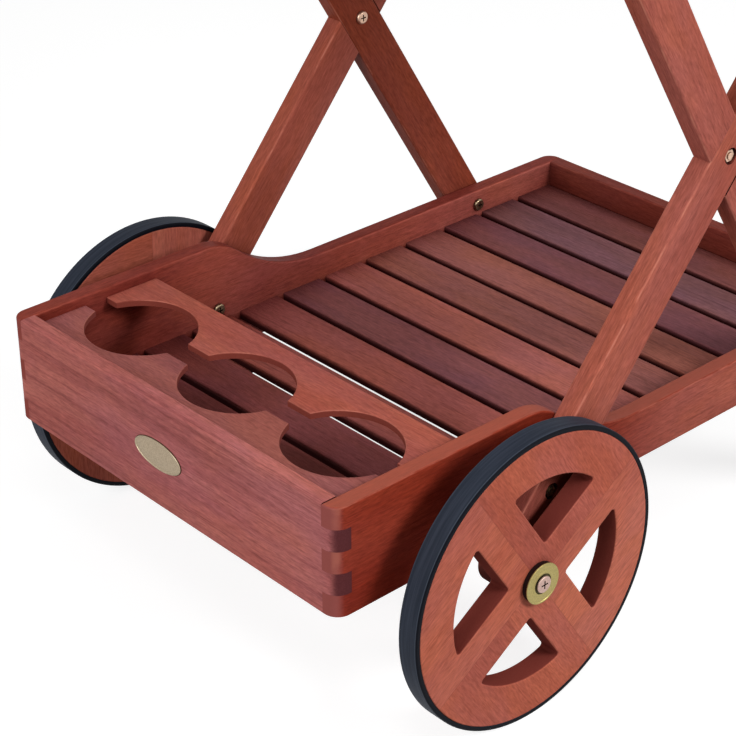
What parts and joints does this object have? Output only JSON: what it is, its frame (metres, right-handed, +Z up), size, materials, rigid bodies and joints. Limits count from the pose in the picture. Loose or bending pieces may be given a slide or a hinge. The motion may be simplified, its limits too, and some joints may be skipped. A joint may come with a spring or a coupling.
{
  "type": "tea trolley",
  "caption": "Two-tier slatted hardwood tea trolley on large spoked wooden wheels and feet, with crossed legs, a push handle and a bottle rack in the lower tray.",
  "frame": {"origin": "on the floor, at the middle of the length and width", "axes": "+X towards the push handle, -X the wheel end with the bottle rack, +Y the left side, +Z up"},
  "size_m": [0.79, 0.5558, 0.8628],
  "materials": {
    "board_wood": "oiled reddish hardwood",
    "slat_wood": "oiled reddish hardwood, darker",
    "leg_wood": "oiled reddish hardwood",
    "rack_wood": "oiled reddish hardwood",
    "handle_wood": "oiled reddish hardwood",
    "wheel_wood": "oiled reddish hardwood",
    "tyre_rubber": "black rubber, satin",
    "bush_plastic": "black moulded plastic",
    "plate_brass": "satin brass",
    "fastener_steel": "zinc-plated steel",
    "axle_steel": "zinc-plated steel",
    "yellow_zinc": "yellow passivated zinc"
  },
  "bodies": {
    "frame": {"axle_bolts": "axle_steel", "axle_nuts": "axle_steel", "axle_spacers": "axle_steel", "axle_washers": "yellow_zinc", "bottle_rack_front": "rack_wood", "bottle_rack_rear": "rack_wood", "crossing_bolts": "fastener_steel", "crossing_nuts": "fastener_steel", "foot_leg_left": "leg_wood", "foot_leg_right": "leg_wood", "handle_bar": "handle_wood", "handle_screws": "fastener_steel", "lower_cleat_left": "board_wood", "lower_cleat_right": "board_wood", "lower_front_board": "board_wood", "lower_rear_board": "board_wood", "lower_side_board_left": "board_wood", "lower_side_board_right": "board_wood", "lower_slat_01": "slat_wood", "lower_slat_02": "slat_wood", "lower_slat_03": "slat_wood", "lower_slat_04": "slat_wood", "lower_slat_05": "slat_wood", "lower_slat_06": "slat_wood", "lower_slat_07": "slat_wood", "lower_slat_08": "slat_wood", "lower_slat_09": "slat_wood", "lower_slat_10": "slat_wood", "lower_slat_11": "slat_wood", "lower_slat_12": "slat_wood", "name_plate": "plate_brass", "rack_dowels": "rack_wood", "slat_screws": "fastener_steel", "tray_bolts": "fastener_steel", "tray_nuts": "fastener_steel", "upper_cleat_left": "board_wood", "upper_cleat_right": "board_wood", "upper_front_board": "board_wood", "upper_rear_board": "board_wood", "upper_side_board_left": "board_wood", "upper_side_board_right": "board_wood", "upper_slat_01": "slat_wood", "upper_slat_02": "slat_wood", "upper_slat_03": "slat_wood", "upper_slat_04": "slat_wood", "upper_slat_05": "slat_wood", "upper_slat_06": "slat_wood", "upper_slat_07": "slat_wood", "upper_slat_08": "slat_wood", "upper_slat_09": "slat_wood", "upper_slat_10": "slat_wood", "wheel_leg_left": "leg_wood", "wheel_leg_right": "leg_wood"},
    "right_wheel": {"right_tyre": "tyre_rubber", "right_wheel_bush": "bush_plastic", "right_wheel_quarters": "wheel_wood"},
    "left_wheel": {"left_tyre": "tyre_rubber", "left_wheel_bush": "bush_plastic", "left_wheel_quarters": "wheel_wood"}
  },
  "joints": [
    {"name": "right_wheel_spin", "type": "hinge", "parent": "frame", "child": "right_wheel", "pos_m": [-0.2158, -0.2595, 0.139], "axis": [0, 1, 0], "continuous": true},
    {"name": "left_wheel_spin", "type": "hinge", "parent": "frame", "child": "left_wheel", "pos_m": [-0.2158, 0.2595, 0.139], "axis": [0, 1, 0], "continuous": true}
  ]
}
